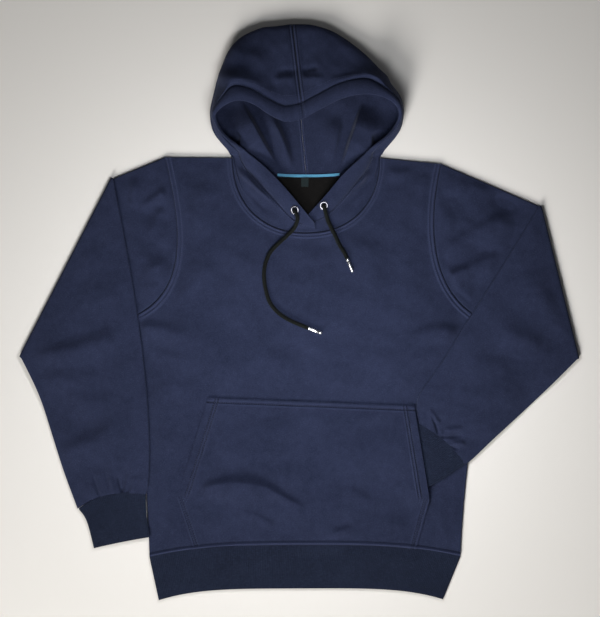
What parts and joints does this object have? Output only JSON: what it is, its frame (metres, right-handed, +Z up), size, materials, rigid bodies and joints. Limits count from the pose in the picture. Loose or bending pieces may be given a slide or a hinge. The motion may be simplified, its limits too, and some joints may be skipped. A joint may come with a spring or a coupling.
{
  "type": "pullover hoodie",
  "caption": "Fleece pullover hoodie laid flat face up, with a spread hood, a front pocket, ribbed cuffs and hem, and both sleeves folded over, one cuff tucked into the pocket.",
  "frame": {"origin": "centre of the garment's box, on the surface it lies on", "axes": "+Z up from the surface through the garment, +Y from the hem towards the hood, +X towards the wearer's left sleeve"},
  "size_m": [0.8394, 0.863, 0.036],
  "materials": {
    "fleece": "soft brushed knit, navy",
    "rib": "fine rib knit, dark navy",
    "tape": "woven tape, light blue",
    "patch": "plain jersey, black",
    "label": "woven satin, black",
    "cord": "round braid, black",
    "metal": "polished, silver"
  },
  "bodies": {
    "root": {"front_panel": "fleece", "back_panel": "fleece", "pocket": "fleece", "sleeve_right": "fleece", "sleeve_left": "fleece", "hood_right": "fleece", "hood_left": "fleece", "hem_band": "rib", "cuff_right": "rib", "cuff_left": "rib", "neck_tape": "tape", "neck_patch": "patch", "size_label": "label", "eyelet_right": "metal", "eyelet_left": "metal", "drawcord_right": "cord", "drawcord_left": "cord", "tip_right": "metal", "tip_left": "metal"}
  },
  "joints": []
}
